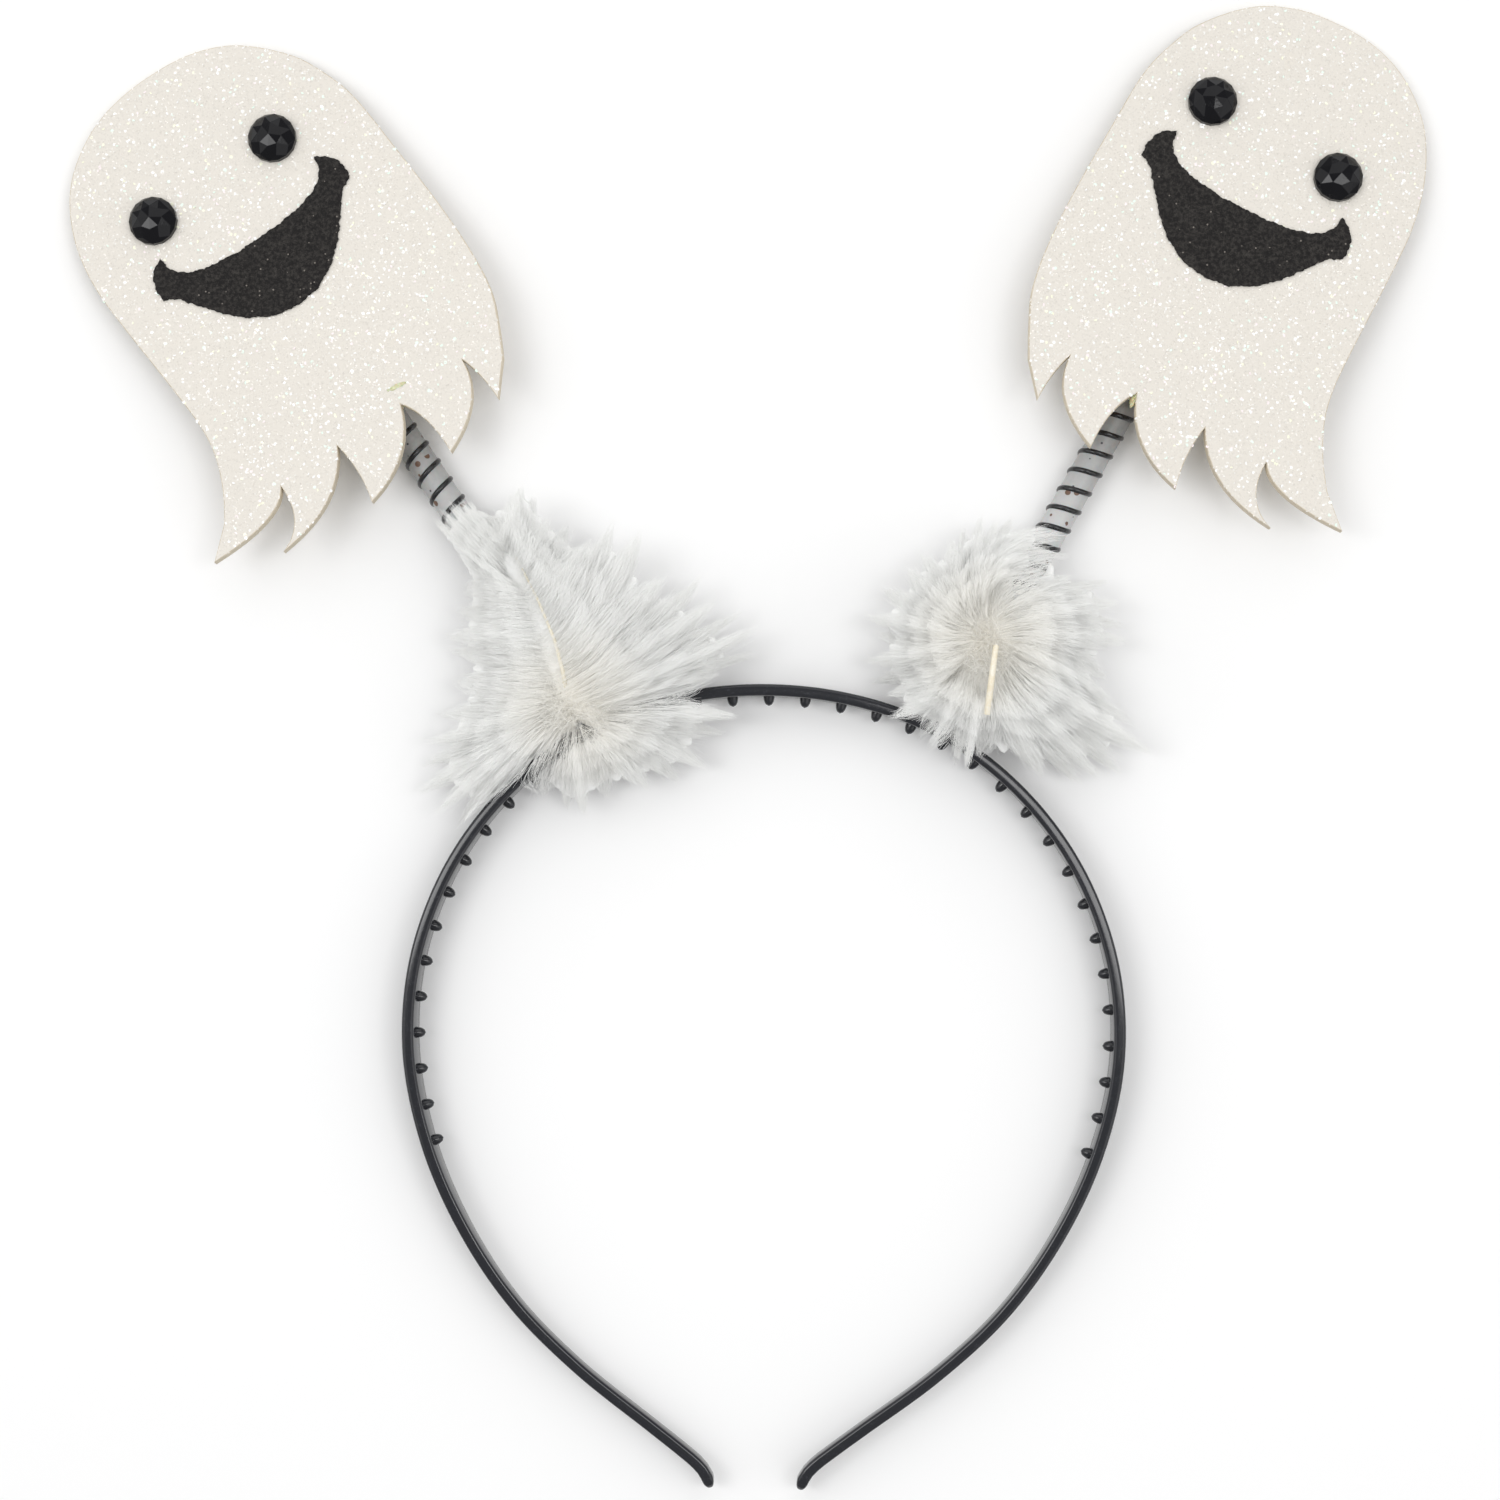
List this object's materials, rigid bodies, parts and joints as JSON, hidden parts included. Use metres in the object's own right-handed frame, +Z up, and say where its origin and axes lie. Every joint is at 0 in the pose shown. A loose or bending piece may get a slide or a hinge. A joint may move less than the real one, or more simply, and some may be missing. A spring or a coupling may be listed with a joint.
{
  "type": "head bopper",
  "caption": "Plastic comb hair band lying on its side, with two coil springs that carry glitter foam ghosts, and a feather puff at the foot of each spring.",
  "frame": {"origin": "middle of the lower edge of the band's crown, where it lies on the surface", "axes": "+X to the wearer's side with the right-hand ghost, +Y from the crown towards the ghosts, +Z up from the surface, across the band's width"},
  "size_m": [0.2473, 0.2706, 0.019],
  "materials": {
    "band_plastic": "semi-gloss moulded plastic",
    "spring_wire": "black lacquered steel wire",
    "spring_sleeve": "translucent pale plastic",
    "glitter_foam": "cream white foam sheet with fine glitter",
    "black_flock": "grainy matte black",
    "gem": "high gloss, faceted",
    "marabou": "fluffy white down feather",
    "glue": "dried clear yellowish glue"
  },
  "bodies": {
    "root": {"headband": "band_plastic", "spring_left": "spring_wire", "spring_right": "spring_wire", "sleeve_left": "spring_sleeve", "sleeve_right": "spring_sleeve", "ghost_left": "glitter_foam", "ghost_right": "glitter_foam", "smile_left": "black_flock", "smile_right": "black_flock", "eye_left_outer": "gem", "eye_left_inner": "gem", "eye_right_outer": "gem", "eye_right_inner": "gem", "glue_left": "glue", "glue_right": "glue", "puff_left": "marabou", "puff_right": "marabou"}
  },
  "joints": []
}
